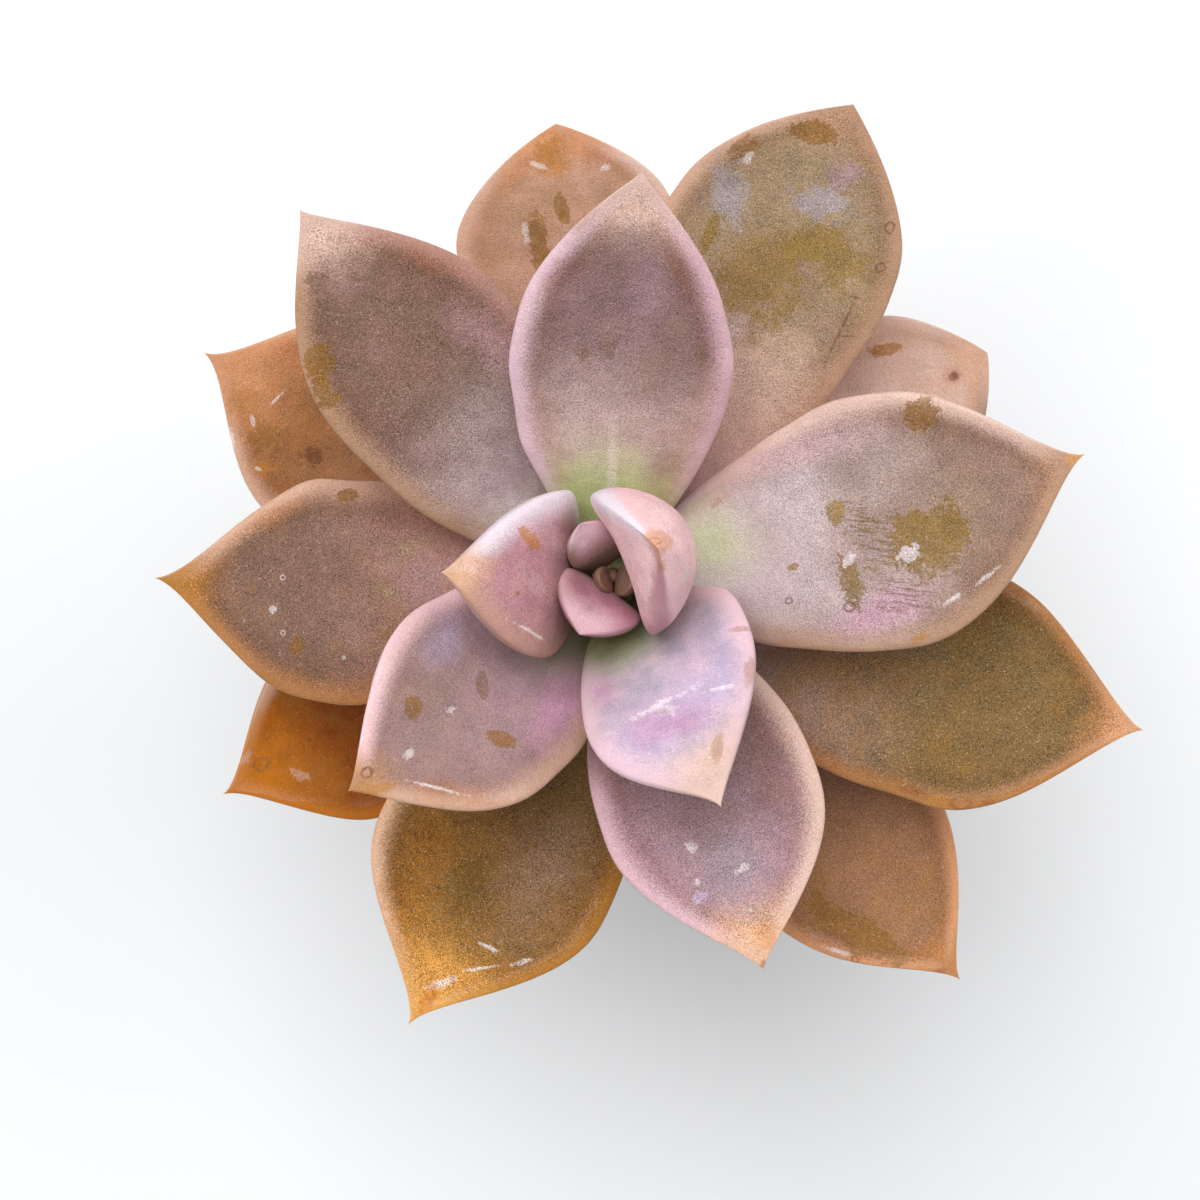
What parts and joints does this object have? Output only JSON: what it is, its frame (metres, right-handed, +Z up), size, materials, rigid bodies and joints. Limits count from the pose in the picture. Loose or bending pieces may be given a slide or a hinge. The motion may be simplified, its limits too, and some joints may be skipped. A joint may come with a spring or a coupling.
{
  "type": "potted ghost plant",
  "caption": "Rosette of thick pointed succulent leaves set in one spiral on a short stem, growing in soil in a round tapered nursery pot with a rim band and drain holes.",
  "frame": {"origin": "centre of the pot's flat foot, on the surface it stands on", "axes": "+Z up along the pot's and the stem's axis; +Y towards the top of the picture, which looks straight down; +X to its right"},
  "size_m": [0.1224, 0.1143, 0.1246],
  "materials": {
    "pot_plastic": "satin black, moulded",
    "potting_soil": "rough, crumbly, with white grains",
    "stem_skin": "matte, scarred",
    "bud_skin": "waxy bloom",
    "young_leaf_skin": "waxy bloom, pink to lilac",
    "grown_leaf_skin": "waxy bloom, mauve grey with pink margins",
    "old_leaf_skin": "thin bloom, tan to orange"
  },
  "bodies": {
    "root": {"pot": "pot_plastic", "soil": "potting_soil", "stem": "stem_skin", "growing_tip": "bud_skin", "leaf_bud_1": "bud_skin", "leaf_bud_2": "bud_skin", "leaf_01": "young_leaf_skin", "leaf_02": "young_leaf_skin", "leaf_03": "young_leaf_skin", "leaf_04": "grown_leaf_skin", "leaf_05": "grown_leaf_skin", "leaf_06": "grown_leaf_skin", "leaf_07": "grown_leaf_skin", "leaf_08": "grown_leaf_skin", "leaf_09": "grown_leaf_skin", "leaf_10": "grown_leaf_skin", "leaf_11": "grown_leaf_skin", "leaf_12": "old_leaf_skin", "leaf_13": "old_leaf_skin", "leaf_14": "old_leaf_skin", "leaf_15": "old_leaf_skin", "leaf_16": "old_leaf_skin", "leaf_17": "old_leaf_skin", "leaf_18": "old_leaf_skin"}
  },
  "joints": []
}
